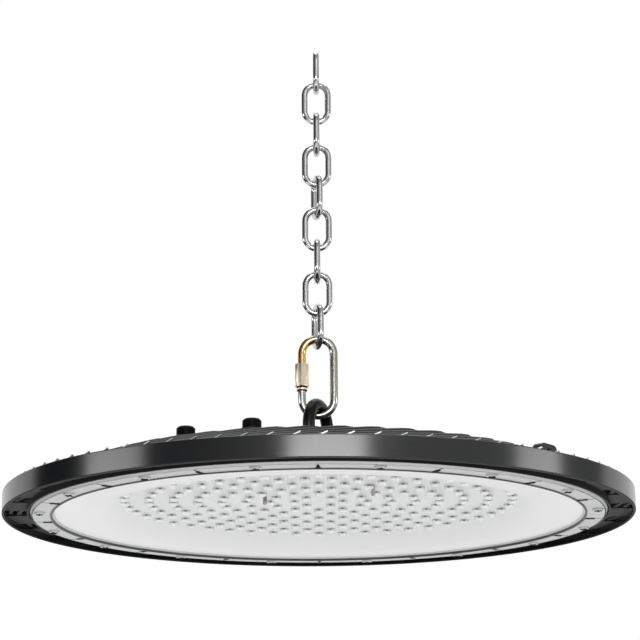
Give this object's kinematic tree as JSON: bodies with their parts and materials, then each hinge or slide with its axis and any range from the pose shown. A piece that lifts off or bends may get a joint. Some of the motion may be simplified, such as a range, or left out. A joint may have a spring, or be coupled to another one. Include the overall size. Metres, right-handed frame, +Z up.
{
  "type": "high bay light",
  "caption": "Slim round LED high bay light with swirl cooling fins, vented rim and domed lens, hung by its eye bolt from a screw link and a short steel chain.",
  "frame": {"origin": "the hang point, under the top bend of the first chain link, where a hook bears", "axes": "+Z up along the chain, the light shines towards -Z; the screw link's face looks along -Y"},
  "size_m": [0.3, 0.3, 0.2434],
  "materials": {
    "black_casting": "satin",
    "black_steel": "satin",
    "bright_steel": "satin",
    "satin_aluminium": "satin",
    "clear_lens": "gloss",
    "white_rubber": "matte",
    "black_rubber": "matte",
    "white_board": "satin",
    "led_yellow": "satin",
    "green_board": "satin",
    "ferrite": "matte",
    "winding_tape": "satin",
    "capacitor_can": "satin",
    "green_plastic": "satin",
    "lead_red": "satin",
    "black_plastic": "satin",
    "zinc_steel": "polished",
    "gilt_sleeve": "polished",
    "chain_steel": "polished"
  },
  "bodies": {
    "link_1": {"chain_link_1": "chain_steel"},
    "link_2": {"chain_link_2": "chain_steel"},
    "link_3": {"chain_link_3": "chain_steel"},
    "link_4": {"chain_link_4": "chain_steel"},
    "link_5": {"chain_link_5": "chain_steel"},
    "link_6": {"chain_link_6": "chain_steel"},
    "link_7": {"chain_link_7": "chain_steel"},
    "link_8": {"chain_link_8": "chain_steel"},
    "link_9": {"chain_link_9": "chain_steel"},
    "screw_link": {"quick_link": "zinc_steel"},
    "sleeve": {"quick_link_sleeve": "gilt_sleeve"},
    "fixture": {"housing": "black_casting", "clamp_ring": "satin_aluminium", "clamp_screws": "bright_steel", "lens": "clear_lens", "lens_gasket": "white_rubber", "led_board": "white_board", "leds": "led_yellow", "board_screws": "bright_steel", "driver_cover": "black_casting", "cover_gasket": "black_rubber", "cover_screws": "bright_steel", "eye_bolt": "black_steel", "eye_washer": "bright_steel", "eye_locknut": "bright_steel", "driver_board": "green_board", "driver_spacers": "bright_steel", "driver_screws": "bright_steel", "transformer_core": "ferrite", "transformer_winding": "winding_tape", "capacitors": "capacitor_can", "choke": "ferrite", "terminal_block": "green_plastic", "led_leads": "lead_red", "lead_grommet": "black_rubber", "gland_body": "black_plastic", "gland_nut": "black_plastic", "gland_locknut": "black_plastic", "breather_valve": "black_plastic", "port_plug": "black_plastic"}
  },
  "joints": [
    {"name": "link_2_swing", "type": "hinge", "parent": "link_1", "child": "link_2", "pos_m": [0, 0, -0.0187], "axis": [0, 1, 0], "range_deg": [-45, 45]},
    {"name": "link_3_swing", "type": "hinge", "parent": "link_2", "child": "link_3", "pos_m": [0, 0, -0.0355], "axis": [1, 0, 0], "range_deg": [-45, 45]},
    {"name": "link_4_swing", "type": "hinge", "parent": "link_3", "child": "link_4", "pos_m": [0, 0, -0.0523], "axis": [0, -1, 0], "range_deg": [-45, 45]},
    {"name": "link_5_swing", "type": "hinge", "parent": "link_4", "child": "link_5", "pos_m": [0, 0, -0.0691], "axis": [-1, 0, 0], "range_deg": [-45, 45]},
    {"name": "link_6_swing", "type": "hinge", "parent": "link_5", "child": "link_6", "pos_m": [0, 0, -0.0859], "axis": [-0.2419, 0.9703, 0], "range_deg": [-45, 45]},
    {"name": "link_7_swing", "type": "hinge", "parent": "link_6", "child": "link_7", "pos_m": [0, 0, -0.1027], "axis": [1, 0, 0], "range_deg": [-45, 45]},
    {"name": "link_8_swing", "type": "hinge", "parent": "link_7", "child": "link_8", "pos_m": [0, 0, -0.1195], "axis": [0, -1, 0], "range_deg": [-45, 45]},
    {"name": "link_9_swing", "type": "hinge", "parent": "link_8", "child": "link_9", "pos_m": [0, 0, -0.1363], "axis": [-1, 0, 0], "range_deg": [-45, 45]},
    {"name": "screw_link_swing", "type": "hinge", "parent": "link_9", "child": "screw_link", "pos_m": [0, 0, -0.1531], "axis": [-0.2588, 0.9659, 0], "range_deg": [-45, 45]},
    {"name": "fixture_swing", "type": "hinge", "parent": "screw_link", "child": "fixture", "pos_m": [0, 0, -0.1878], "axis": [1, 0, 0], "range_deg": [-45, 45]},
    {"name": "sleeve_travel", "type": "slide", "parent": "screw_link", "child": "sleeve", "axis": [0, 0, 1], "range_m": [0, 0.005]}
  ]
}
